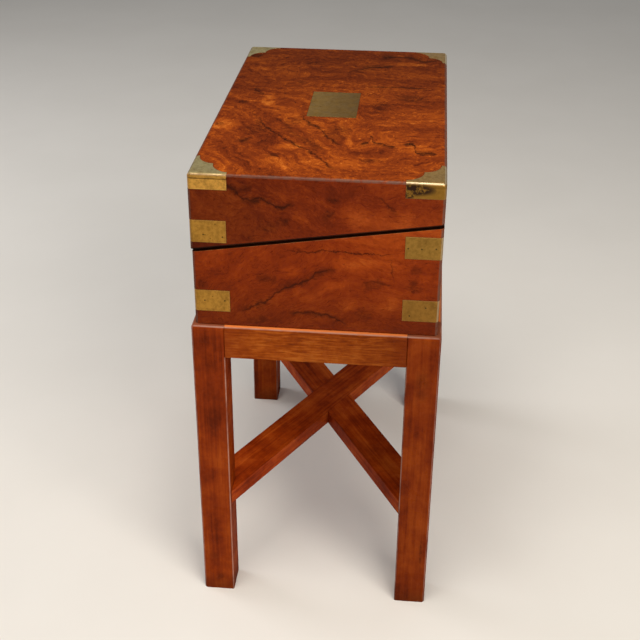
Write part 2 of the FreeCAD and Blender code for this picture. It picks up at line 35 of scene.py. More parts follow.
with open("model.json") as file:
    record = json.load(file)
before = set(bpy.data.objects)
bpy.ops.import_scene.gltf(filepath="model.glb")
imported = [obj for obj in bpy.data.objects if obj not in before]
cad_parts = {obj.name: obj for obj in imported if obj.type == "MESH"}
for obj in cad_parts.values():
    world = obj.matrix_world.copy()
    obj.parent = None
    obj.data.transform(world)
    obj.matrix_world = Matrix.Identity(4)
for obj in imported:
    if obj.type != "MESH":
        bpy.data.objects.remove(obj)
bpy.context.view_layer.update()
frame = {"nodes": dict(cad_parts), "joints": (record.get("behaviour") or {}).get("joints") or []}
nodes = frame["nodes"]
joints = {joint["name"]: joint for joint in frame["joints"]}
lidLow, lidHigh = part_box("lid_top")
baseLow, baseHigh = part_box("base_right")
hingeY, hingeZ = joints["lid_hinge"]["pos_m"][1:]
print("frame loaded:", len(nodes), "nodes")


# Slope of the writing surface

def nodePoints(node):
    co = np.zeros(len(nodes[node].data.vertices) * 3, np.float32)
    nodes[node].data.vertices.foreach_get("co", co)
    return co.reshape(-1, 3).astype(float)


def hidePlane(node):
    # the two low and two high ends of the hide's section give the direction of the writing slope
    section = np.unique(np.round(nodePoints(node)[:, 1:], 6), axis=0)
    section = section[np.argsort(section[:, 0])]
    low, high = section[:2].mean(0), section[-2:].mean(0)
    run = high - low
    return low, run / np.linalg.norm(run), float(np.linalg.norm(run))


slope = math.atan2(*hidePlane("base_flap_leather")[1][::-1])
slopeAlong = np.array([0.0, math.cos(slope), math.sin(slope)])
slopeUp = np.array([0.0, -math.sin(slope), math.cos(slope)])


# Shader tools: most put nodes down and hand back the last socket

def wire(node, inputs):
    # another node's socket is linked; a plain value is set on the input itself
    for key, value in inputs.items():
        socket = node.inputs[key]
        if isinstance(value, bpy.types.NodeSocket):
            socket.id_data.links.new(value, socket)
        else:
            socket.default_value = value


def put(kind, inputs, tree=None, **settings):
    # without a tree the node joins that of the sockets it takes
    if tree is None:
        tree = next(value.id_data for value in inputs.values() if isinstance(value, bpy.types.NodeSocket))
    made = tree.nodes.new("ShaderNode" + kind)
    for key, value in settings.items():
        setattr(made, key, value)
    wire(made, inputs)
    return made


def calc(operation, a, b=0.0):
    return put("Math", {0: a, 1: b}, operation=operation).outputs[0]


def fold(operation, first, *rest):
    # the operation taken along the list, two at a time
    for part in rest:
        first = calc(operation, first, part)
    return first


times, total, most, least = (partial(fold, way) for way in ("MULTIPLY", "ADD", "MAXIMUM", "MINIMUM"))


def scaled(parts, shares):
    return [times(part, share) for part, share in zip(parts, shares)]


def minus(a, b):
    return calc("SUBTRACT", a, b)


def flip(share):
    return minus(1.0, share)


def size(value):
    return calc("ABSOLUTE", value)


def arrow(operation, a, b=(0.0, 0.0, 0.0)):
    made = put("VectorMath", {0: a, 1: b}, operation=operation)
    return made.outputs[1 if operation in ("LENGTH", "DOT_PRODUCT") else 0]


def dimmed(colour, light):
    return put("VectorMath", {0: colour, "Scale": light}, operation="SCALE").outputs[0]


def ramp(value, low, high):
    return put("MapRange", {"Value": value, "From Min": low, "From Max": high}).outputs[0]


def step(value, low, high, atLow=0.0, atHigh=1.0):
    inputs = {"Value": value, "From Min": low, "From Max": high, "To Min": atLow, "To Max": atHigh}
    return put("MapRange", inputs, interpolation_type="SMOOTHSTEP").outputs[0]


def cloud(place, rate, detail, rough=0.55):
    inputs = {"Vector": place, "Scale": rate, "Detail": detail, "Roughness": rough}
    return put("TexNoise", inputs).outputs[0]


def patchy(place, form, atLow=0.0, atHigh=1.0):
    # a form is a cloud's rate, detail and roughness, then the two of its values between which it turns
    rate, detail, rough, low, high = form
    return step(cloud(place, rate, detail, rough), low, high, atLow, atHigh)


def cells(place, rate, **settings):
    return put("TexVoronoi", {"Vector": place, "Scale": rate}, **settings).outputs


def mix(share, a, b, mode="MIX"):
    made = put("Mix", {0: share, 6: a, 7: b}, data_type="RGBA", blend_type=mode)
    return made.outputs[2]


def shade(code):
    # a colour written as on a paint chart, turned to linear light
    parts = [int(code[k:k + 2], 16) / 255 for k in (0, 2, 4)]
    linear = [p / 12.92 if p <= 0.04045 else ((p + 0.055) / 1.055) ** 2.4 for p in parts]
    return (*linear, 1.0)


def tint(colour, share, code, strength=None, mode="MIX"):
    # lays a second colour over the first where the share is high
    if strength is not None:
        share = times(share, strength)
    return mix(share, colour, shade(code), mode)


def hues(value, steps):
    made = put("ValToRGB", {0: value})
    band = made.color_ramp.elements
    while len(band) < len(steps):
        band.new(0.5)
    for stop, (position, code) in zip(band, steps):
        stop.position = position
        stop.color = shade(code)
    return made.outputs[0]


def axesOf(vector):
    return put("SeparateXYZ", {0: vector}).outputs


def joinAxes(x, y, z):
    return put("CombineXYZ", {0: x, 1: y, 2: z}).outputs[0]


def startMaterial(name):
    material = bpy.data.materials.new(name)
    material.use_nodes = True
    tree = material.node_tree
    where = put("TexCoord", {}, tree)
    return material, tree, tree.nodes["Principled BSDF"], where.outputs["Object"], where.outputs["Normal"]


def surfaceNormal(tree):
    return put("NewGeometry", {}, tree).outputs["Normal"]


softEdge = {"samples": 6, "turn": (0.01, 0.22)}


def softEdges(tree, radius):
    # a normal eased over sharp edges, and how strongly a point lies on such an edge
    eased = put("Bevel", {"Radius": radius}, tree, samples=softEdge["samples"]).outputs[0]
    turn = flip(arrow("DOT_PRODUCT", eased, surfaceNormal(tree)))
    return eased, step(turn, *softEdge["turn"])


def relief(height, strength, depth, normal):
    inputs = {"Strength": strength, "Distance": depth, "Height": height, "Normal": normal}
    return put("Bump", inputs).outputs[0]


def smoothCurve(share, values):
    # a smooth curve through values spaced at the given shares of its run
    made = put("FloatCurve", {"Value": share})
    made.mapping.use_clip = False
    points = made.mapping.curves[0].points
    for spot, value in values[1:-1]:
        points.new(spot, value)
    for point, place in zip(points, values):
        point.location = place
    made.mapping.update()
    return made.outputs[0]


# Burr veneer, in millimetres on its sheet. A vein is a width, a darkness and points (level, climb) along it.
# A knot or a glow is an ellipse: level, climb, reach along each, strength.
# Each look's shading entry is painted shade: the axis (0 level, 1 climb), the span it runs over and the share
# of colour kept at its start; it darkens the far part of the lid top, the left of the lid end and the lower
# parts of the base

lidTopBurr = {
    "hues": [(0.0, "431605"), (0.25, "662608"), (0.5, "80350c"), (0.75, "a04a10"), (1.0, "c66c24")],
    "tilt": -1.6, "turn": 0.03, "fade": (-0.10, 0.05), "paintedShading": (1, -0.20, 0.14, 0.60), "grains": 0.15,
    "bends": [(9.0, 0.060), (30.0, 0.022), (95.0, 0.010), (240.0, 0.004)],
    "eyes": (24.0, 0.70), "share": (0.30, 0.16, 0.18, 0.36), "contrast": (0.30, 0.72),
    "veins": [
        (1.8, 0.85, [(-86, 17), (-78, 57), (-54, 98), (-40, 118), (-4, 159), (9, 184), (21, 192)]),
        (1.4, 0.50, [(-64, 40), (-42, 82), (-24, 108), (8, 150)]),
        (1.3, 0.45, [(-100, 6), (-92, 30), (-68, 86), (-50, 114)]),
        (1.7, 0.80, [(-37, 5), (-36, 23), (-32, 34), (-24, 59), (-8, 77), (6, 113), (18, 129)]),
        (2.5, 0.95, [(34, 120), (45, 116), (47, 98), (49, 113), (60, 118), (75, 126)]),
        (3.0, 0.95, [(80, 122), (89, 114), (95, 138), (108, 139), (117, 150)]),
        (7.0, 0.80, [(37, -185), (70, -188), (100, -173), (118, -190)]),
        (5.0, 0.70, [(4, -110), (30, -139), (56, -149), (62, -161)]),
        (2.0, 0.70, [(27, -53), (59, -68), (95, -67), (108, -40)]),
        (2.4, 0.75, [(-97, -45), (-84, -24), (-83, -7)]),
        (2.8, 0.75, [(-91, 124), (-83, 118), (-77, 106)]),
        (6.0, 0.30, [(-55, 54), (-36, 91), (-15, 125), (1, 163)]),
    ],
    "knots": [
        (-50, 160, 7, 7, 0.80), (-101, 4, 8, 7, 0.70), (-117, 75, 6, 7, 0.60), (85, -28, 22, 17, 0.55),
        (-45, -75, 6, 9, 0.50), (-37, -151, 17, 8, 0.45), (48, 166, 12, 7, 0.55), (11, 88, 16, 30, 0.42),
        (-78, 89, 16, 20, 0.35), (-87, 125, 10, 6, 0.50), (53, 4, 17, 22, 0.38), (45, -146, 27, 7, 0.45),
        (-37, 57, 10, 17, 0.30), (51, -175, 24, 7, 0.40), (-113, -174, 10, 10, 0.80), (87, 117, 8, 5, 0.90),
        (103, 143, 8, 4, 0.90),
    ],
    "glows": [
        (-110, 76, 18, 22, 0.65), (-35, 134, 22, 13, 0.55), (-75, -8, 11, 27, 0.60), (89, 128, 26, 20, 0.45),
        (80, -157, 27, 8, 0.50), (-101, -121, 15, 13, 0.40), (61, 58, 20, 14, 0.35), (-20, 180, 80, 22, 0.38),
    ],
}
lidEndBurr = {
    "hues": [(0.0, "3a1003"), (0.28, "581b05"), (0.5, "6b2408"), (0.72, "80310b"), (1.0, "9c4616")],
    "tilt": 0.35, "turn": 0.03, "fade": None, "paintedShading": (0, -0.10, 0.02, 0.62), "grains": 0.07,
    "bends": [(10.0, 0.050), (34.0, 0.016), (110.0, 0.005), (260.0, 0.003)],
    "eyes": (26.0, 0.82), "share": (0.42, 0.16, 0.14, 0.28), "contrast": (0.25, 0.76),
    "veins": [
        (3.0, 0.75, [(-92, 514), (-78, 508), (-68, 500), (-52, 497)]),
        (2.0, 0.85, [(-68, 500), (-50, 500), (-37, 495), (-22, 498)]),
        (2.4, 0.55, [(60, 508), (70, 500), (79, 491)]),
    ],
    "knots": [(-46, 472, 13, 8, 0.55), (-32, 477, 9, 6, 0.45), (11, 486, 7, 6, 0.55), (-71, 512, 12, 5, 0.40),
              (16, 501, 9, 5, 0.30)],
    "glows": [(-16, 483, 11, 8, 0.40), (40, 482, 15, 9, 0.35), (-37, 505, 12, 5, 0.30),
              (89, 488, 8, 7, 0.25)],
}
baseEndBurr = {
    "hues": [(0.0, "461504"), (0.28, "692206"), (0.5, "7d2c07"), (0.72, "923b0d"), (1.0, "b0581c")],
    "tilt": -0.55, "turn": 0.03, "fade": None, "paintedShading": (1, 0.355, 0.430, 0.66), "grains": 0.07,
    "bends": [(10.0, 0.050), (34.0, 0.016), (110.0, 0.005), (260.0, 0.003)],
    "eyes": (24.0, 0.84), "share": (0.42, 0.16, 0.14, 0.28), "contrast": (0.22, 0.80),
    "veins": [
        (2.6, 0.80, [(-83, 376), (-66, 380), (-36, 400), (-4, 416), (7, 425), (24, 430)]),
        (2.4, 0.75, [(-31, 371), (-4, 377), (16, 372), (33, 364)]),
        (0.8, 0.85, [(-33, 447), (-13, 446), (40, 448), (83, 445)]),
        (0.8, 0.60, [(73, 444), (75, 432), (78, 421)]),
        (2.2, 0.55, [(46, 414), (58, 416), (76, 413)]),
    ],
    "knots": [(-49, 414, 11, 8, 0.45), (100, 412, 9, 10, 0.50), (-117, 404, 8, 8, 0.35),
              (54, 411, 14, 5, 0.40), (-58, 367, 14, 6, 0.40), (51, 379, 11, 8, 0.35),
              (100, 430, 7, 7, 0.35)],
    "glows": [(-24, 423, 16, 9, 0.40), (17, 435, 16, 7, 0.30), (48, 437, 20, 7, 0.30),
              (-13, 400, 13, 8, 0.40), (32, 388, 16, 8, 0.40), (76, 393, 12, 8, 0.30)],
}
longSideBurr = {
    "hues": [(0.0, "421404"), (0.28, "642107"), (0.5, "782b09"), (0.72, "90390d"), (1.0, "ae541b")],
    "tilt": 0.28, "turn": 0.10, "fade": None, "paintedShading": (1, 0.355, 0.425, 0.80), "grains": 0.07,
    "bends": [(8.0, 0.070), (30.0, 0.020), (100.0, 0.006), (260.0, 0.003)],
    "eyes": (22.0, 0.80), "share": (0.42, 0.16, 0.14, 0.28), "contrast": (0.25, 0.76),
    "veins": [
        (2.8, 0.80, [(-180, 395), (-110, 388), (-40, 398), (30, 416), (120, 420)]),
        (2.4, 0.70, [(20, 375), (90, 388), (170, 380)]),
        (2.8, 0.80, [(-150, 507), (-90, 498), (10, 500), (110, 510)]),
    ],
    "knots": [(-125, 408, 14, 9, 0.45), (74, 396, 12, 8, 0.40), (150, 498, 12, 7, 0.40),
              (-40, 470, 11, 7, 0.40)],
    "glows": [(-60, 420, 22, 9, 0.35), (110, 486, 20, 8, 0.30), (20, 380, 18, 8, 0.30),
              (-150, 480, 16, 8, 0.30)],
}
# patches, bands, streaks and pores: rate across the flow and along it, then the cloud's detail and roughness
burrGrain = {
    "veinColour": "1a0702", "knotColour": "260b03", "eyeColour": "4a1706", "poreColour": "6a3a22",
    "patches": (20.0, 9.0, 2.0, 0.55), "bands": (75.0, 8.0, 3.0, 0.55), "streaks": (330.0, 34.0, 4.0, 0.65),
    "pores": (1700.0, 120.0, 2.0, 0.55), "poreReach": (0.56, 0.70), "poreShare": 0.5,
    "mottle": (120.0, 8.0, 0.75), "smudge": (0.62, 0.38, 0.45, 1.0),
    "eyeReach": (0.20, 0.05), "eyeShare": 0.6, "depthShare": 0.4, "bendDetail": 2.0,
    "grainRate": 330.0, "grainEdge": (0.60, 0.20), "glowRise": 0.16, "spotCore": 0.06,
    "ragged": [(40.0, 0.010), (160.0, 0.007), (480.0, 0.0025)], "toMillimetres": (1000.0, 1000.0, 0.0),
    "swell": (60.0, 4.0, 0.55, 0.33, 0.67), "swellWidth": (0.35, 1.5),
    "veinSpread": 2.4, "veinFall": 2.5, "veinTaper": 0.15,
}


def bentPlace(flat, bends):
    # each bend pushes the place sideways by a cloud of its own size
    bent = flat
    for rate, reach in bends:
        inputs = {"Vector": flat, "Scale": rate, "Detail": burrGrain["bendDetail"]}
        swirl = put("TexNoise", inputs).outputs[1]
        push = arrow("MULTIPLY", arrow("SUBTRACT", swirl, (0.5, 0.5, 0.5)), (reach, reach, 0.0))
        bent = arrow("ADD", bent, push)
    return bent


def flowLine(bent, look):
    # level past the turn and slanting before it: climb plus tilt times the distance short of the turn
    level, climb = axesOf(bent)[:2]
    short = least(minus(level, look["turn"]), 0.0)
    slant = times(short, look["tilt"])
    if look["fade"]:
        slant = times(slant, step(climb, *look["fade"]))
    return total(climb, slant)


def veinStrength(spot, swell, width, dark, points):
    # falls with the distance from a curve through the points, and to nothing at both its ends
    levels, climbs = (np.array(part, float) for part in zip(*points))
    run = levels[-1] - levels[0]
    path = np.hypot(np.diff(levels), np.diff(climbs)).sum()
    share = ramp(spot[0], levels[0], levels[-1])
    middle = smoothCurve(share, list(zip((levels - levels[0]) / run, climbs)))
    gap = times(size(minus(spot[1], middle)), abs(run) / path)
    reach = ramp(calc("DIVIDE", gap, swell), width * burrGrain["veinSpread"], 0.0)
    taper = burrGrain["veinTaper"]
    ends = least(step(share, 0.0, taper), step(share, 1.0, 1.0 - taper))
    return times(calc("POWER", reach, burrGrain["veinFall"]), ends, dark)


def spotStrength(spot, level, climb, levelReach, climbReach, strength):
    # full in the middle of an ellipse and nothing outside it
    across = calc("DIVIDE", minus(spot[0], level), levelReach)
    along = calc("DIVIDE", minus(spot[1], climb), climbReach)
    square = total(times(across, across), times(along, along))
    return step(square, 1.0, burrGrain["spotCore"], 0.0, strength)


def burrFigure(place, plane, look):
    # patches, bands and streaks follow the flow line; knots, eyes, veins and pores are laid over them;
    # the plane names the axes of level, climb and depth
    look = {**burrGrain, **look}
    axes = axesOf(place)
    level, climb, depth = (axes[k] for k in plane)
    flat = joinAxes(level, climb, times(depth, look["depthShare"]))
    bent = bentPlace(flat, look["bends"])
    flow = flowLine(bent, look)
    bentAxes = axesOf(bent)[:2]

    def follow(across, along, detail, rough):
        return cloud(joinAxes(*scaled((flow, *bentAxes), (across, along, along))), 1.0, detail, rough)

    patches, bands, streaks = (follow(*look[key]) for key in ("patches", "bands", "streaks"))
    mottle = cloud(bent, *look["mottle"])
    spot = axesOf(arrow("MULTIPLY", bentPlace(flat, look["ragged"]), look["toMillimetres"]))
    glow, knot = (most(*[spotStrength(spot, *row) for row in look[key]]) for key in ("glows", "knots"))
    grains = cells(bent, look["grainRate"])
    grain = minus(axesOf(grains["Color"])[0], 0.5)
    grain = times(grain, step(grains["Distance"], *look["grainEdge"], 0.0, look["grains"]))
    parts = scaled((patches, bands, streaks, mottle), look["share"])
    tone = total(grain, times(glow, look["glowRise"]), *parts)
    figure = hues(step(tone, *look["contrast"]), look["hues"])
    figure = tint(figure, times(knot, step(mottle, *look["smudge"])), look["knotColour"])

    eyeRate, eyeChance = look["eyes"]
    eyes = cells(bent, eyeRate)
    chosen = calc("GREATER_THAN", axesOf(eyes["Color"])[0], eyeChance)
    eye = times(step(eyes["Distance"], *look["eyeReach"]), chosen)
    figure = tint(figure, eye, look["eyeColour"], look["eyeShare"])

    swell = patchy(flat, look["swell"], *look["swellWidth"])
    stain = most(*[veinStrength(spot, swell, *vein) for vein in look["veins"]])
    figure = tint(figure, stain, look["veinColour"])

    pores = step(follow(*look["pores"]), *look["poreReach"])
    figure = tint(figure, pores, look["poreColour"], look["poreShare"], "MULTIPLY")
    # painted shade: the figure darkens along one axis, standing in for light falling unevenly across the face
    axis, *paintedShading = look["paintedShading"]
    figure = dimmed(figure, step((level, climb)[axis], *paintedShading, 1.0))
    return figure, minus(streaks, pores)


# Straight-grained mahogany

plainForm = {
    "contrast": (0.34, 0.66), "bandStretch": 1.7,
    "bands": (3.0, 0.55), "streaks": (4.0, 0.6), "blotches": (6.0, 0.65),
    "fleckRate": (1500.0, 70.0), "fleckDetail": 2.0, "fleckReach": (0.57, 0.70), "fleckColour": "3a1405",
}
innerMahogany = {
    "hues": [(0.05, "3d1a0a"), (0.35, "64300f"), (0.6, "7c4118"), (0.92, "96562a")],
    "rates": (55.0, 420.0, 16.0), "share": (0.4, 0.34, 0.26), "flecks": 0.5, "stretch": 0.035,
}


def plainGrain(place, grain, look):
    # clouds that change fast across the grain and slowly along it
    look = {**plainForm, **look}
    along = Vector(grain).normalized()
    side = along.orthogonal().normalized()
    other = along.cross(side)
    reach = [arrow("DOT_PRODUCT", place, tuple(axis)) for axis in (side, other, along)]

    def follow(across, lengthwise):
        return joinAxes(*scaled(reach, (across, across, lengthwise)))

    bandRate, streakRate, blotchRate = look["rates"]
    bands = cloud(follow(bandRate, bandRate * look["stretch"] * look["bandStretch"]), 1.0, *look["bands"])
    streaks = cloud(follow(streakRate, streakRate * look["stretch"]), 1.0, *look["streaks"])
    blotches = cloud(place, blotchRate, *look["blotches"])
    tone = total(*scaled((bands, streaks, blotches), look["share"]))
    figure = hues(step(tone, *look["contrast"]), look["hues"])
    flecks = cloud(follow(*look["fleckRate"]), 1.0, look["fleckDetail"])
    flecks = step(flecks, *look["fleckReach"])
    figure = tint(figure, flecks, look["fleckColour"], look["flecks"])
    return figure, minus(streaks, flecks)


def turnGrain(place, share):
    # length and depth change places where the share is one, so the grain turns a right angle there
    x, y, z = axesOf(place)
    return mix(share, place, joinAxes(y, x, z))


def arrisTurn(facing):
    # the lesser part of the normal across an edge, for level edges and for upright ones: nothing on a
    # flat face and most in the middle of a rounded edge
    x, y, z = (size(part) for part in axesOf(facing))
    return least(z, most(x, y)), least(x, y)


def lacquer(weight, polish):
    # a thin clear coat in place of the wood's own shine
    return {"Specular IOR Level": 0.0, "Coat Weight": weight, "Coat Roughness": polish}


# Boards of the box. Turns are parts of the normal, reaches and depths are metres, patches are cloud forms.

boxFinish = {
    "veneer": (0.0015, 0.00165), "topBoard": 0.008, "wall": 0.0122, "faceTurn": (0.62, 0.78),
    "arrisColour": "64483c", "arrisTurn": (0.18, 0.50), "arrisPatches": (150.0, 4.0, 0.55, 0.2, 0.55),
    "arrisHighlightFade": (-0.10, 0.12, 0.60, 0.85), "edgeRadius": 0.0012, "jointTurn": (0.30, 0.50),
    "jointReach": (0.0030, 0.0022), "seamColour": "1a0802", "seamShare": 0.9,
    "lipColour": "b88450", "lipReach": (0.0050, 0.0035), "lipPatches": (120.0, 3.0, 0.55, 0.3, 0.7),
    "lipShare": 0.6, "below": (0.0002, -0.0002), "under": (0.0031, 0.0022),
    "gapShadeColour": "120803", "rimTurn": (0.85, 0.95), "rimDepth": (0.0070, 0.0050), "gapShadeShare": 0.92,
    "polish": (0.13, 0.25), "polishPatches": (40.0, 5.0, 0.55, 0.3, 0.7), "dull": 0.50, "coat": 0.12,
    "relief": (0.10, 0.0004),
}


def boxMaterial(name, figures, low, high):
    # each outer face has its own sheet of veneer; what lies deeper than the veneer is plain wood
    look = boxFinish
    material, tree, shader, place, facing = startMaterial(name)
    x, y, z = axesOf(place)
    turned = axesOf(facing)
    end, height = burrFigure(place, (1, 2, 0), figures["end"])
    side = burrFigure(place, (0, 2, 1), figures["side"])[0]
    outer = mix(step(size(turned[0]), *look["faceTurn"]), side, end)
    gaps = [minus(high.x, size(x)), minus(high.y, y), minus(y, low.y)]
    if "top" in figures:
        top, height = burrFigure(place, (1, 0, 2), figures["top"])
        outer = mix(step(turned[2], *look["faceTurn"]), outer, top)
        gaps.append(minus(high.z, z))
    deep = least(*gaps)
    inside = step(deep, *look["veneer"])
    # the end boards' grain runs from front to back, as far as their mitres
    mitred = calc("LESS_THAN", gaps[0], least(gaps[1], gaps[2]))
    endBoard = times(mitred, calc("LESS_THAN", gaps[0], look["wall"]))
    plain = plainGrain(turnGrain(place, endBoard), (1.0, 0.0, 0.0), innerMahogany)[0]
    colour = mix(inside, outer, plain)

    turn = most(*arrisTurn(facing))
    # painted highlight with some wear: a paler line along the rounded edges, stronger towards +Y where the
    # light falls
    highlightAndWear = times(step(turn, *look["arrisTurn"]), patchy(place, look["arrisPatches"]),
                   step(y, *look["arrisHighlightFade"]))
    colour = tint(colour, highlightAndWear, look["arrisColour"])
    # joints of the carcase lie under the veneer, so only edges away from them show
    eased, edge = softEdges(tree, look["edgeRadius"])
    joint = step(turn, *look["jointTurn"])
    if "top" in figures:
        boardEdge = size(minus(z, high.z - look["topBoard"]))
        joint = most(joint, step(boardEdge, *look["jointReach"]))
    edge = times(edge, flip(joint))
    eased = mix(joint, eased, surfaceNormal(tree))
    # distance above the plane of the split
    rise = minus(times(minus(z, hingeZ), math.cos(slope)), times(minus(y, hingeY), math.sin(slope)))
    lip = step(size(rise), *look["lipReach"])
    colour = tint(colour, times(edge, flip(lip)), look["seamColour"], look["seamShare"])
    # painted highlight with wear: a pale line along the base's top edge just below the split
    below = step(rise, *look["below"])
    wear = times(edge, lip, patchy(place, look["lipPatches"]), below)
    colour = tint(colour, wear, look["lipColour"], look["lipShare"])
    # painted shade in the split's gap: the lid's lowest edge, rounded under into the dark, and the outer half
    # of the rims are darkened
    under = times(step(rise, *look["under"]), flip(below))
    rim = times(lip, step(size(turned[2]), *look["rimTurn"]))
    rim = times(most(rim, under), step(deep, *look["rimDepth"]))
    colour = tint(colour, rim, look["gapShadeColour"], look["gapShadeShare"])

    polish = patchy(place, look["polishPatches"], *look["polish"])
    coat = lacquer(look["coat"], most(polish, times(inside, look["dull"])))
    normal = relief(height, *look["relief"], eased)
    wire(shader, {"Base Color": colour, "Normal": normal, "Coat Normal": eased, **coat})
    return material


# Stand

standLook = {
    "legs": {"hues": [(0.0, "521904"), (0.35, "742807"), (0.6, "823108"), (1.0, "984210")],
             "rates": (40.0, 260.0, 22.0), "share": (0.22, 0.26, 0.52), "flecks": 0.22, "stretch": 0.035,
             "top": ("7a4630", 0.8)},
    "rails": {"hues": [(0.0, "5f2306"), (0.35, "803608"), (0.6, "90420d"), (1.0, "a85a1c")],
              "rates": (90.0, 520.0, 26.0), "share": (0.18, 0.42, 0.40), "flecks": 0.35, "stretch": 0.11,
              "top": ("d8783a", 0.8), "endColour": "742a08", "endReach": 0.055, "endShare": 0.75},
    # painted light: the stretchers' hues are lighter than the legs' to stand in for light reaching them under
    # the box
    "stretchers": {"hues": [(0.0, "5f1b04"), (0.35, "842c07"), (0.6, "98390b"), (1.0, "b85318")],
                   "rates": (45.0, 300.0, 24.0), "share": (0.24, 0.30, 0.46), "flecks": 0.25,
                   "stretch": 0.035, "top": ("98390b", 0.2)},
    "topTurn": (0.60, 0.90), "ledge": (-0.008, -0.006), "paintedShading": (-0.10, 0.10, 1.08, 0.80),
    "arrisColour": "a98474", "arrisTurn": (0.46, 0.66), "arrisPatches": (45.0, 4.0, 0.55, 0.22, 0.60),
    "arrisShare": 0.65,
    "jointReach": (0.004, 0.003), "jointRise": 0.001, "jointTurn": (0.10, 0.05),
    "edgeColour": "2f0f04", "edgeRadius": 0.0009, "edgeShare": 0.45,
    "footDarkColour": "2a0e04", "footDarkening": (0.030, 0.0), "footDarkShare": 0.45,
    "coat": 0.10, "polish": (0.18, 0.36), "polishPatches": (30.0, 5.0, 0.55, 0.3, 0.7),
    "relief": (0.14, 0.0004), "smudge": (130.0, 4.0, 0.6, 0.30, 0.60),
    "knotColour": "2a0c03", "knotReach": (1.2, 0.2), "knotShare": 0.6,
    "knots": [((0.203, -0.116, 0.048), (0.030, 0.008, 0.016)),
              ((0.203, -0.110, 0.018), (0.030, 0.007, 0.010)),
              ((0.203, -0.112, 0.232), (0.030, 0.006, 0.006)),
              ((0.222, 0.122, 0.075), (0.020, 0.0022, 0.026)),
              ((0.203, 0.112, 0.300), (0.030, 0.012, 0.030))],
}
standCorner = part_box("leg_back_right")[1]
railEnds = Vector((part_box("rail_front")[1].x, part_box("rail_right")[1].y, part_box("rail_right")[0].z))


def nearSpot(place, spot, reach, outer, inner):
    # one at the spot, falling to nothing on an ellipsoid about it
    away = arrow("MULTIPLY", arrow("SUBTRACT", place, spot), tuple(1 / part for part in reach))
    return step(arrow("LENGTH", away), outer, inner)


def standMaterial(name, grain, kind, end=None):
    # plain wood with a painted highlight on its outer ledge, smudged knots, edges with painted highlight and
    # wear, feet darker towards the floor, and painted light and shade across it
    look = {**standLook, **standLook[kind]}
    material, tree, shader, place, facing = startMaterial(name)
    colour, height = plainGrain(place, grain, look)
    if end:
        # a rail darkens towards the legs that hold it
        along = size(arrow("DOT_PRODUCT", place, grain))
        darker = step(along, end - look["endReach"], end, 0.0, look["endShare"])
        colour = tint(colour, darker, look["endColour"])
    level, upright = arrisTurn(facing)
    upward = step(axesOf(facing)[2], *look["topTurn"])
    axes = axesOf(place)
    x, y, z = (size(part) for part in axes)

    def near(ends, first, last):
        return most(*[step(part, end + first, end + last) for part, end in zip((x, y), ends)])

    # painted highlight: upward faces near the outer edge take each kind's top colour, bright orange on the
    # rails
    colour = tint(colour, times(upward, near(standCorner, *look["ledge"])), *look["top"])
    smudge = patchy(place, look["smudge"])
    for spot, reach in look["knots"]:
        knot = times(nearSpot(place, spot, reach, *look["knotReach"]), smudge)
        colour = tint(colour, knot, look["knotColour"], look["knotShare"])
    # rail and leg are flush where they meet, so neither gets the painted highlight, wear or dark edge along
    # that joint
    beside = step(z, railEnds.z - look["jointRise"], railEnds.z + look["jointRise"])
    bare = flip(times(near(railEnds, *look["jointReach"]), beside, step(level, *look["jointTurn"])))
    turn = most(level, upright)
    # painted highlight with some wear: a pale line along the rounded edges
    highlightAndWear = times(step(turn, *look["arrisTurn"]), patchy(place, look["arrisPatches"]), bare)
    colour = tint(colour, highlightAndWear, look["arrisColour"], look["arrisShare"])
    eased, edge = softEdges(tree, look["edgeRadius"])
    colour = tint(colour, times(edge, bare), look["edgeColour"], look["edgeShare"])
    # darker towards the feet, over the lowest three centimetres
    footDarkening = step(z, *look["footDarkening"])
    colour = tint(colour, footDarkening, look["footDarkColour"], look["footDarkShare"])
    # painted light and shade: lighter towards -Y, darker towards +Y
    colour = dimmed(colour, step(axes[1], *look["paintedShading"]))
    coat = lacquer(look["coat"], patchy(place, look["polishPatches"], *look["polish"]))
    wire(shader, {"Base Color": colour, "Normal": relief(height, *look["relief"], eased), **coat})
    return material


# Inner fittings of the box

innerFinish = {
    "bearerX": 0.1936, "bearerY": -0.0997, "edgeColour": "b07a48", "edgeRadius": 0.0006, "edgeShare": 0.3,
    "roughness": (0.42, 0.58), "roughPatches": (30.0, 5.0, 0.55, 0.3, 0.7), "shine": 0.15,
    "relief": (0.15, 0.0004),
}


def innerMaterial(name, grain, withSides=False):
    # plain wood; the side bearers' grain runs from front to back
    look = innerFinish
    material, tree, shader, place, _ = startMaterial(name)
    laid = place
    if withSides:
        x, y = axesOf(place)[:2]
        beside = calc("GREATER_THAN", size(x), look["bearerX"])
        behind = calc("GREATER_THAN", y, look["bearerY"])
        laid = turnGrain(place, times(beside, behind))
    colour, height = plainGrain(laid, grain, innerMahogany)
    eased, edge = softEdges(tree, look["edgeRadius"])
    wire(shader, {
        "Base Color": tint(colour, edge, look["edgeColour"], look["edgeShare"]),
        "Roughness": patchy(place, look["roughPatches"], *look["roughness"]),
        "Specular IOR Level": look["shine"],
        "Normal": relief(height, *look["relief"], eased),
    })
    return material


# Metals

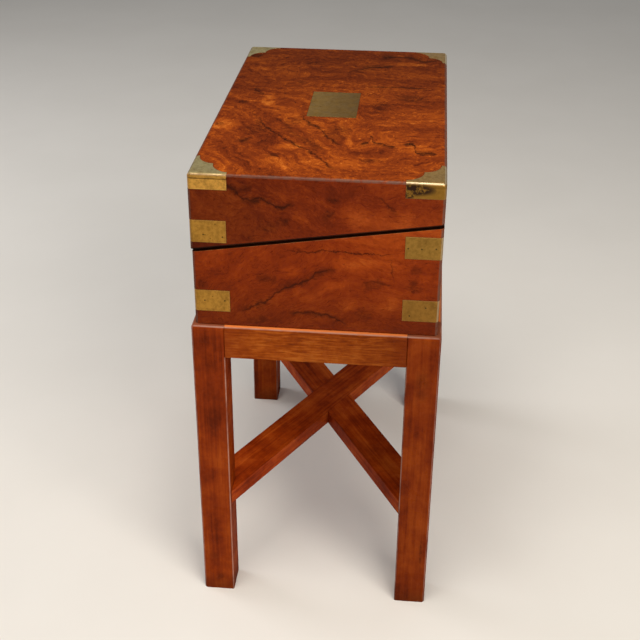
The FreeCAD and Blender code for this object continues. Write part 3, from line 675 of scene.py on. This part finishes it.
# places of the brass colours: those of the -Y side are painted lighter, those of the +Y side darker
frontPlaces = ("front", "cap", "topFront")
backPlaces = ("back", "low", "topBack")
inlaidBrass = {
    "front": "b08034", "back": "957031", "low": "8c642a", "cap": "d59e47",
    "topFront": "bfaf7a", "topBack": "b49054",
    "stain": "6a4a1c", "pitAndBandColour": "2a1a08", "rim": "c89a62", "arris": "e4d6b4", "arrisFront": "7d6951",
    "metal": 0.72, "roughness": 0.36, "mottle": 0.40,
}
plateBrass = {
    **dict.fromkeys(frontPlaces, "a98544"), **dict.fromkeys(backPlaces, "765521"),
    "stain": "5a4218", "pitAndBandColour": "2a1a08", "rim": "a98c58", "arris": "a98c58", "arrisFront": "a98c58",
    "metal": 0.72, "roughness": 0.42, "mottle": 0.30,
}
hingeBrass = {
    **dict.fromkeys(frontPlaces + backPlaces, "9a773a"),
    "stain": "54401c", "pitAndBandColour": "1d1406", "rim": "bd9758", "arris": "bd9758", "arrisFront": "bd9758",
    "metal": 0.85, "roughness": 0.40, "mottle": 0.34,
}
pinBrass = {
    **dict.fromkeys(frontPlaces + backPlaces, "54401e"), "front": "5c421c",
    "stain": "33230c", "pitAndBandColour": "1d1406", "rim": "3a290f", "arris": "3a290f", "arrisFront": "3a290f",
    "metal": 0.6, "roughness": 0.45, "mottle": 0.34,
}
brassForm = {
    "backward": (-0.06, 0.06), "lowHeight": (0.40, 0.46), "capHeight": (0.485, 0.505),
    "topTurn": (0.55, 0.95), "shine": 0.1, "relief": (0.15, 0.0003),
    "stains": (70.0, 6.0, 0.65, 0.48, 0.76), "stainShare": 0.5, "tarnish": (260.0, 5.0, 0.65, 0.40, 0.64),
    "levelArris": (0.36, 0.62, 0.0, 0.8), "uprightArris": (0.40, 0.64, 0.0, 0.3),
    "groove": 0.0050, "grooveReach": (0.0009, 0.0004), "grooveShare": 0.65,
    "pitRate": 190.0, "pitChance": 0.90, "pitReach": (0.20, 0.08), "pitShare": 0.7,
    "edgeRadius": 0.0007, "edgeShare": 0.5,
    "roughPatches": (130.0, 5.0, 0.55, 0.3, 0.7), "roughSpread": (-0.07, 0.10), "roughStain": 0.18,
    "scratchRate": (160.0, 160.0, 1900.0), "scratchDetail": 3.0, "scratchShare": 0.4,
}
corrodedCorner = {
    "middle": (0.217, 0.094, 0.5175), "reach": (0.030, 0.026, 0.0075), "fall": (1.1, 0.5), "dark": "261306",
    "ragged": (0.217, 0.0895, 0.509), "raggedReach": (0.030, 0.0050, 0.018), "raggedFall": (1.1, 0.6),
    "olive": "8a6222", "oliveShare": 0.7, "crust": (150.0, 5.0, 0.7, 0.36, 0.54),
}


def brassMaterial(name, look, corroded=False):
    # colours by place, painted lighter on the -Y side and darker on the +Y side, then stains, painted
    # highlights with polish on the edges, a painted dark band round the caps, corrosion and pits
    form = brassForm
    material, tree, shader, place, facing = startMaterial(name)
    y, z = axesOf(place)[1:]
    # painted light and shade: the -Y side, its cap flange and its upward faces take lighter colours, the +Y
    # side and its low part darker ones, for light and reflections falling unevenly
    backward = step(y, *form["backward"])
    back = mix(step(z, *form["lowHeight"]), shade(look["low"]), shade(look["back"]))
    front = mix(step(z, *form["capHeight"]), shade(look["front"]), shade(look["cap"]))
    colour = mix(backward, front, back)
    upward = step(axesOf(facing)[2], *form["topTurn"])
    colour = mix(upward, colour, mix(backward, shade(look["topFront"]), shade(look["topBack"])))
    stains = patchy(place, form["stains"])
    colour = tint(colour, stains, look["stain"], form["stainShare"])
    colour = tint(colour, patchy(place, form["tarnish"]), look["stain"], look["mottle"])
    level, upright = arrisTurn(facing)
    # painted highlight with polish: a pale line along the rounded edges, paler on the +Y side than on the -Y
    # side
    brassArrisHighlight = most(step(level, *form["levelArris"]), step(upright, *form["uprightArris"]))
    colour = mix(brassArrisHighlight, colour, mix(backward, shade(look["arrisFront"]), shade(look["arris"])))
    # painted reflection: a dark band round the caps just below their rounded top edge
    groove = step(size(minus(z, lidHigh.z - form["groove"])), *form["grooveReach"])
    colour = tint(colour, times(groove, flip(brassArrisHighlight)), look["pitAndBandColour"], form["grooveShare"])
    metal = look["metal"]
    if corroded:
        corner = corrodedCorner
        standing = flip(upward)
        colour = tint(colour, standing, corner["olive"], corner["oliveShare"])
        dark = most(nearSpot(place, corner["middle"], corner["reach"], *corner["fall"]),
                    nearSpot(place, corner["ragged"], corner["raggedReach"], *corner["raggedFall"]))
        dark = times(dark, patchy(place, corner["crust"]), standing)
        colour = tint(colour, dark, corner["dark"])
        metal = times(flip(dark), metal)
    specks = cells(place, form["pitRate"])
    rare = calc("GREATER_THAN", axesOf(specks["Color"])[1], form["pitChance"])
    pits = times(step(specks["Distance"], *form["pitReach"]), rare)
    colour = tint(colour, pits, look["pitAndBandColour"], form["pitShare"])
    eased, edge = softEdges(tree, form["edgeRadius"])
    rough = total(patchy(place, form["roughPatches"], *form["roughSpread"]),
                  times(most(stains, pits), form["roughStain"]), look["roughness"])
    scratches = cloud(arrow("MULTIPLY", place, form["scratchRate"]), 1.0, form["scratchDetail"])
    uneven = minus(times(scratches, form["scratchShare"]), pits)
    wire(shader, {
        "Base Color": tint(colour, edge, look["rim"], form["edgeShare"]),
        "Metallic": metal,
        "Specular IOR Level": form["shine"],
        "Roughness": rough,
        "Normal": relief(uneven, *form["relief"], eased),
    })
    return material


# Leather of the writing flaps

writingLeather = {
    "hues": [(0.1, "0f1f12"), (0.45, "1b3420"), (0.75, "28462b"), (0.95, "3f5a3a")],
    "wear": (14.0, 5.0, 0.6), "fine": (260.0, 4.0, 0.6), "share": (0.65, 0.35), "contrast": (0.33, 0.67),
    "gilt": "b08a3c", "lines": [(0.0058, 0.0009), (0.0082, 0.0004)], "lineEdge": (1.25, 0.75),
    "giltPatches": (330.0, 4.0, 0.55, 0.32, 0.46), "giltMetal": 0.85, "roughness": (0.3, 0.7, 0.42, 0.62),
    "pebbleRate": 900.0, "relief": (0.35, 0.0003),
    "press": 0.00018, "edgeRound": 0.0006, "edgeFall": 0.6, "thickness": 0.0008,
    "borderStep": 0.0003, "middleStep": 0.004, "border": 0.011,
}


def leatherMaterial(name):
    # worn hide with broken gilt lines at set distances from its edge
    look = writingLeather
    material, tree, shader, place, _ = startMaterial(name)
    wear, fine = (cloud(place, *look[key]) for key in ("wear", "fine"))
    tone = total(*scaled((wear, fine), look["share"]))
    colour = hues(step(tone, *look["contrast"]), look["hues"])
    edge = put("Attribute", {}, tree, attribute_name="edgeReach").outputs["Fac"]
    outer, inner = look["lineEdge"]
    lines = [step(size(minus(edge, reach)), half * outer, half * inner) for reach, half in look["lines"]]
    gilt = times(most(*lines), patchy(place, look["giltPatches"]))
    pebbles = cells(place, look["pebbleRate"], feature="SMOOTH_F1")["Distance"]
    wire(shader, {
        "Base Color": tint(colour, gilt, look["gilt"]),
        "Metallic": times(gilt, look["giltMetal"]),
        "Roughness": step(wear, *look["roughness"]),
        "Normal": relief(pebbles, *look["relief"], surfaceNormal(tree)),
    })
    return material


clearGlass = {
    "tints": ("e6f3ee", "f4faf6"), "tintPatches": (45.0, 3.0, 0.55, 0.3, 0.7), "bending": 1.5,
    "roughness": (0.02, 0.10), "roughPatches": (90.0, 4.0, 0.55, 0.35, 0.75),
    "edgeRadius": 0.0008, "ripple": (70.0, 2.0), "relief": (0.08, 0.0006),
}


def glassMaterial(name):
    look = clearGlass
    material, tree, shader, place, _ = startMaterial(name)
    eased = softEdges(tree, look["edgeRadius"])[0]
    tints = [shade(code) for code in look["tints"]]
    wire(shader, {
        "Transmission Weight": 1.0,
        "IOR": look["bending"],
        "Base Color": mix(patchy(place, look["tintPatches"]), *tints),
        "Roughness": patchy(place, look["roughPatches"], *look["roughness"]),
        "Normal": relief(cloud(place, *look["ripple"]), *look["relief"], eased),
    })
    return material


# Mesh tools

def meshPiece(name, points, faces, body, material):
    mesh = bpy.data.meshes.new(name)
    mesh.from_pydata(points.reshape(-1, 3), [], faces.reshape(-1, faces.shape[-1]))
    mesh.materials.append(material)
    mesh.polygons.foreach_set("use_smooth", np.ones(len(mesh.polygons), bool))
    piece = bpy.data.objects.new(name, mesh)
    bpy.context.scene.collection.objects.link(piece)
    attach(piece, body)
    return piece


def gridFaces(rows, columns, closed=False):
    # quads between neighbours of a grid; a closed grid joins its last column to its first
    corner = np.arange(rows * columns).reshape(rows, columns)
    if closed:
        corner = np.concatenate([corner, corner[:, :1]], axis=1)
    quads = [corner[:-1, :-1], corner[:-1, 1:], corner[1:, 1:], corner[1:, :-1]]
    return np.stack(quads, axis=-1).reshape(-1, 4)


def graded(length):
    # close steps along both borders, wide ones between them
    look = writingLeather
    near = np.arange(0.0, look["border"], look["borderStep"])
    middle = np.linspace(look["border"], length - look["border"], int(length / look["middleStep"]))
    return np.concatenate([near, middle, length - near[::-1]])


def leatherPiece(name, node, body, upward, material):
    # a flat sheet over (u, v) that falls in a quarter round at its edge and a groove along each tooled line
    look = writingLeather
    low, _, length = hidePlane(node)
    corner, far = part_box(node)
    width = far.x - corner.x
    u, v = np.meshgrid(graded(width), graded(length), indexing="ij")
    edge = np.minimum(np.minimum(u, width - u), np.minimum(v, length - v))
    fall = np.clip(1 - edge / look["edgeRound"], 0, 1)
    drop = look["edgeRound"] * (1 - np.sqrt(1 - fall ** 2)) * look["edgeFall"]
    for reach, half in look["lines"]:
        drop = drop + look["press"] * np.exp(-((edge - reach) / half) ** 2)
    direction = 1.0 if upward else -1.0
    surface = np.max((nodePoints(node) - np.array([0.0, *low])) @ slopeUp * direction)
    points = (np.array([corner.x, *low]) + u[..., None] * np.array([1.0, 0.0, 0.0])
              + v[..., None] * slopeAlong + (direction * (surface - drop))[..., None] * slopeUp)
    faces = gridFaces(*u.shape)
    if upward:
        faces = faces[:, ::-1]
    piece = meshPiece(name, points, faces, body, material)
    spread = piece.data.attributes.new("edgeReach", "FLOAT", "POINT")
    spread.data.foreach_set("value", edge.ravel())
    backing = piece.modifiers.new("thickness", "SOLIDIFY")
    backing.thickness = look["thickness"]
    backing.offset = -1.0
    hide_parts(node)


# Screws of the hinges and pins of the straps

screwHead = {
    "radius": 0.0017, "crown": 0.00012, "slot": 0.00024, "slotDepth": 0.0005, "rings": 12, "turns": 32,
}
smallScrew = {
    "radius": 0.0011, "crown": 0.00010, "slot": 0.00018, "slotDepth": 0.0004, "rings": 10, "turns": 28,
}
strapPin = {"radius": 0.0009, "crown": 0.00008, "slot": 0.0, "slotDepth": 0.0, "rings": 6, "turns": 20}
headRim = {"slotEnd": 0.98, "skirt": 3.0, "goldenAngle": 2.39996, "sideways": 0.9}
lidHingeScrews = {"along": (-0.017, 0.0, 0.017), "reach": 0.0058, "form": screwHead}
flapHingeScrews = {"along": (-0.009, 0.009), "reach": 0.0050, "form": smallScrew}
knuckleReach = 0.0035
# share of the leg from the corner and share of the height, for each pin of a strap
pinPlaces = {
    "lid_rim_strap": [(0.38, 0.35), (0.90, 0.27)],
    "base_rim_strap": [(0.18, 0.50), (0.56, 0.46), (0.92, 0.47)],
    "base_foot_strap_front": [(0.30, 0.50), (0.86, 0.52)],
    "base_foot_strap_back": [(0.37, 0.66), (0.80, 0.25)],
}


def headForm(form):
    # height over (radius, angle): a low crown that falls to the rim, cut by a straight slot across the middle
    radius = np.linspace(0.0, 1.0, form["rings"])[:, None] * form["radius"]
    angle = np.linspace(0.0, 2 * np.pi, form["turns"], endpoint=False)[None, :]
    height = form["crown"] * (1 - (radius / form["radius"]) ** 2) + 0 * angle
    across = np.abs(radius * np.sin(angle))
    slotted = (across < form["slot"]) * (radius < form["radius"] * headRim["slotEnd"])
    height = height - form["slotDepth"] * slotted
    skirt = np.concatenate([height, np.full((1, form["turns"]), -form["crown"] * headRim["skirt"])])
    radius = np.concatenate([radius, radius[-1:]])
    return np.stack([radius * np.cos(angle), radius * np.sin(angle), skirt], axis=-1)


def headGroup(name, form, places, outward, body, material):
    # the same head at every place, each turned a golden angle more, set square to the surface under it
    head = headForm(form)
    places, outward = np.asarray(places, float), np.asarray(outward, float)
    turns = np.arange(len(places)) * headRim["goldenAngle"]
    helper = np.where(np.abs(outward[:, :1]) > headRim["sideways"], [[0.0, 1.0, 0.0]], [[1.0, 0.0, 0.0]])
    side = np.cross(helper, outward)
    side /= np.linalg.norm(side, axis=1, keepdims=True)
    other = np.cross(outward, side)
    first = np.cos(turns)[:, None] * side + np.sin(turns)[:, None] * other
    second = np.cross(outward, first)
    points = (places[:, None, None] + head[None, ..., :1] * first[:, None, None]
              + head[None, ..., 1:2] * second[:, None, None] + head[None, ..., 2:] * outward[:, None, None])
    rows, columns = head.shape[:2]
    faces = gridFaces(rows, columns, closed=True)
    every = faces[None] + (np.arange(len(places)) * rows * columns)[:, None, None]
    meshPiece(name, points, every.reshape(-1, 4), body, material)


def pairCentres(node):
    across = nodePoints(node)[:, 0]
    left, right = across[across < 0], across[across > 0]
    return [(left.min() + left.max()) / 2, (right.min() + right.max()) / 2]


def leafScrews(name, node, joint, side, facing, screws, body, material):
    # the screws stand in a row on the leaf's open face, the furthest along the facing beyond the knuckles
    axis = np.array([0.0, *joints[joint]["pos_m"][1:]])
    local = nodePoints(node) - axis
    flat = side * (local @ slopeAlong) > knuckleReach
    face = np.max((local @ slopeUp)[flat] * facing)
    rows = [np.array([x + along, 0.0, 0.0]) for x in pairCentres(node) for along in screws["along"]]
    places = [axis + row + side * screws["reach"] * slopeAlong + facing * face * slopeUp for row in rows]
    headGroup(name, screws["form"], places, [facing * slopeUp] * len(places), body, material)


def strapPins(name, straps, body, material):
    # each strap has the same pins on both its legs, measured from its outer corner
    places, outward = [], []
    for node in straps:
        low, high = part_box(node)
        x = high.x if high.x > 0 else low.x
        y = high.y if high.y > 0 else low.y
        inX, inY = -math.copysign(high.x - low.x, x), -math.copysign(high.y - low.y, y)
        spots = next(spots for key, spots in pinPlaces.items() if node.startswith(key))
        for leg, rise in spots:
            z = low.z + rise * (high.z - low.z)
            places += [(x, y + leg * inY, z), (x + leg * inX, y, z)]
            outward += [(math.copysign(1.0, x), 0.0, 0.0), (0.0, math.copysign(1.0, y), 0.0)]
    headGroup(name, strapPin, places, outward, body, material)


print("tools ready, slope", round(math.degrees(slope), 2), "degrees")

# Materials on the CAD pieces

lidFigures = {"top": lidTopBurr, "end": lidEndBurr, "side": longSideBurr}
lidWood = boxMaterial("lidBurr", lidFigures, lidLow, lidHigh)
baseWood = boxMaterial("baseBurr", {"end": baseEndBurr, "side": longSideBurr}, baseLow, baseHigh)
stretcherReach = (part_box("stretcher_lower")[1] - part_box("stretcher_lower")[0]).to_2d()
lowerRun = (*stretcherReach, 0.0)
upperRun = (stretcherReach.x, -stretcherReach.y, 0.0)
legWood = standMaterial("legMahogany", (0.0, 0.0, 1.0), "legs")
longRailWood = standMaterial("longRailMahogany", (1.0, 0.0, 0.0), "rails", railEnds.x)
shortRailWood = standMaterial("shortRailMahogany", (0.0, 1.0, 0.0), "rails", railEnds.y)
lowerBarWood = standMaterial("lowerStretcherMahogany", lowerRun, "stretchers")
upperBarWood = standMaterial("upperStretcherMahogany", upperRun, "stretchers")
innerWood = innerMaterial("innerMahogany", (1.0, 0.0, 0.0))
crossWood = innerMaterial("crossMahogany", (0.0, 1.0, 0.0))
bearerWood = innerMaterial("bearerMahogany", (1.0, 0.0, 0.0), withSides=True)
strapBrass = brassMaterial("strapBrass", inlaidBrass)
corrodedBrass = brassMaterial("corrodedBrass", inlaidBrass, corroded=True)
hingeMetal = brassMaterial("hingeBrass", hingeBrass)
pinMetal = brassMaterial("pinBrass", pinBrass)
plateMetal = brassMaterial("plateBrass", plateBrass)
leather = leatherMaterial("writingLeather")
glass = glassMaterial("inkwellGlass")


def finishOf(node):
    if node.startswith("leg_"):
        return legWood
    if node.startswith("rail_"):
        return longRailWood if node in ("rail_front", "rail_back") else shortRailWood
    if node.startswith("stretcher_"):
        return lowerBarWood if node == "stretcher_lower" else upperBarWood
    if node == "lid_plate":
        return plateMetal
    if node == "lid_cap_back_right":
        return corrodedBrass
    if "hinge" in node or "lock" in node or node == "inkwell_caps":
        return hingeMetal
    if "strap" in node or "cap_" in node or node == "keyhole_plate":
        return strapBrass
    if node in ("inkwell_left", "inkwell_right"):
        return glass
    if node == "bay_partitions":
        return crossWood
    if node.endswith("flap_bearers"):
        return bearerWood
    if node in ("base_front", "base_back", "base_left", "base_right"):
        return baseWood
    if node in ("lid_top", "lid_front", "lid_back", "lid_left", "lid_right"):
        return lidWood
    return innerWood


for node, solid in nodes.items():
    for holder in solid.material_slots:
        holder.material = finishOf(node)
print("materials set")

# New pieces

leatherPiece("baseFlapLeather", "base_flap_leather", "base_flap", True, leather)
leatherPiece("lidFlapLeather", "lid_flap_leather", "lid_flap", False, leather)
print("leathers laid")
leafScrews("baseHingeScrews", "hinge_base_leaves", "lid_hinge", 1, 1, lidHingeScrews, "desk_base", hingeMetal)
leafScrews("lidHingeScrews", "hinge_lid_leaves", "lid_hinge", 1, -1, lidHingeScrews, "lid", hingeMetal)
for part, body, facing in (("base", "desk_base", 1), ("lid", "lid", -1)):
    flap = f"{part}_flap"
    for end, side, rides in (("fixed", -1, body), ("moving", 1, flap)):
        leafScrews(f"{part}Flap{end.title()}Screws", f"{flap}_hinge_{end}", f"{flap}_hinge", side, facing,
                   flapHingeScrews, rides, hingeMetal)
straps = [node for node in nodes if "strap" in node]
strapPins("basePins", [node for node in straps if node.startswith("base_")], "desk_base", pinMetal)
strapPins("lidPins", [node for node in straps if node.startswith("lid_")], "lid", pinMetal)
print("screws and pins set")


# Stage, light and camera

studio = {
    "floor": ("e4e0d9", "b8b2a8"), "floorPatches": (5.0, 5.0, 0.55, 0.3, 0.7), "floorSpread": (0.0, 0.06),
    "floorRoughness": 0.7, "floorShine": 0.2, "floorHalf": 9.0, "floorLines": 9,
    "world": (0.85, 0.87, 0.90, 1.0), "worldStrength": 0.24, "aim": (0.0, 0.0, 0.30),
    # place, size, power and colour
    "lamps": {
        "key": ((1.6, 1.0, 1.65), 1.2, 35.0, (1.0, 0.94, 0.86)),
        "overhead": ((0.7, -0.2, 2.5), 1.2, 33.0, (1.0, 0.95, 0.88)),
        "rim": ((-0.6, -2.1, 1.3), 1.0, 18.0, (0.95, 0.96, 1.0)),
    },
}
photoCamera = {
    "spot": (1.2322, 0.09714, 0.94866), "yaw": 0.0908, "pitch": 0.5161, "roll": 0.00776,
    "focalPixels": 1147.15, "imagePixels": 640.0, "sensor": 36.0,
}


def addFloor():
    # a flat square grid at the height of the feet
    reach = np.linspace(-studio["floorHalf"], studio["floorHalf"], studio["floorLines"])
    u, v = np.meshgrid(reach, reach, indexing="ij")
    points = np.stack([u, v, np.zeros_like(u)], axis=-1)
    mesh = bpy.data.meshes.new("floor")
    mesh.from_pydata(points.reshape(-1, 3), [], gridFaces(*u.shape)[:, ::-1])
    material, _, shader, place, _ = startMaterial("paleFloor")
    tone = patchy(place, studio["floorPatches"], *studio["floorSpread"])
    wire(shader, {
        "Base Color": mix(tone, *[shade(code) for code in studio["floor"]]),
        "Roughness": studio["floorRoughness"],
        "Specular IOR Level": studio["floorShine"],
    })
    mesh.materials.append(material)
    floor = bpy.data.objects.new("floor", mesh)
    bpy.context.scene.collection.objects.link(floor)


def addLamps():
    for name, (spot, width, power, colour) in studio["lamps"].items():
        light = bpy.data.lights.new(name, "AREA")
        light.shape = "SQUARE"
        light.size = width
        light.energy = power
        light.color = colour
        made = bpy.data.objects.new(name, light)
        made.location = spot
        toAim = Vector(studio["aim"]) - Vector(spot)
        made.rotation_euler = toAim.to_track_quat("-Z", "Y").to_euler()
        bpy.context.scene.collection.objects.link(made)
    world = bpy.data.worlds.new("studio")
    world.use_nodes = True
    sky = world.node_tree.nodes["Background"]
    wire(sky, {"Color": studio["world"], "Strength": studio["worldStrength"]})
    bpy.context.scene.world = world


def addCamera():
    # looks along the yaw and pitch that fit the photograph, turned by the roll about that line
    yaw, pitch, roll = (photoCamera[key] for key in ("yaw", "pitch", "roll"))
    ahead = Vector((-math.cos(yaw) * math.cos(pitch), -math.sin(yaw) * math.cos(pitch), -math.sin(pitch)))
    level = Vector((-math.sin(yaw), math.cos(yaw), 0.0))
    upright = level.cross(ahead)
    right = math.cos(roll) * level + math.sin(roll) * upright
    up = -math.sin(roll) * level + math.cos(roll) * upright
    lens = bpy.data.cameras.new("photoCamera")
    lens.sensor_width = photoCamera["sensor"]
    lens.lens = photoCamera["sensor"] * photoCamera["focalPixels"] / photoCamera["imagePixels"]
    camera = bpy.data.objects.new("photoCamera", lens)
    turn = Matrix((right, up, -ahead)).transposed().to_4x4()
    camera.matrix_world = Matrix.Translation(photoCamera["spot"]) @ turn
    bpy.context.scene.collection.objects.link(camera)
    bpy.context.scene.camera = camera


addFloor()
addLamps()
addCamera()
bpy.context.scene.view_settings.view_transform = "Standard"
print("stage, lamps and camera set")
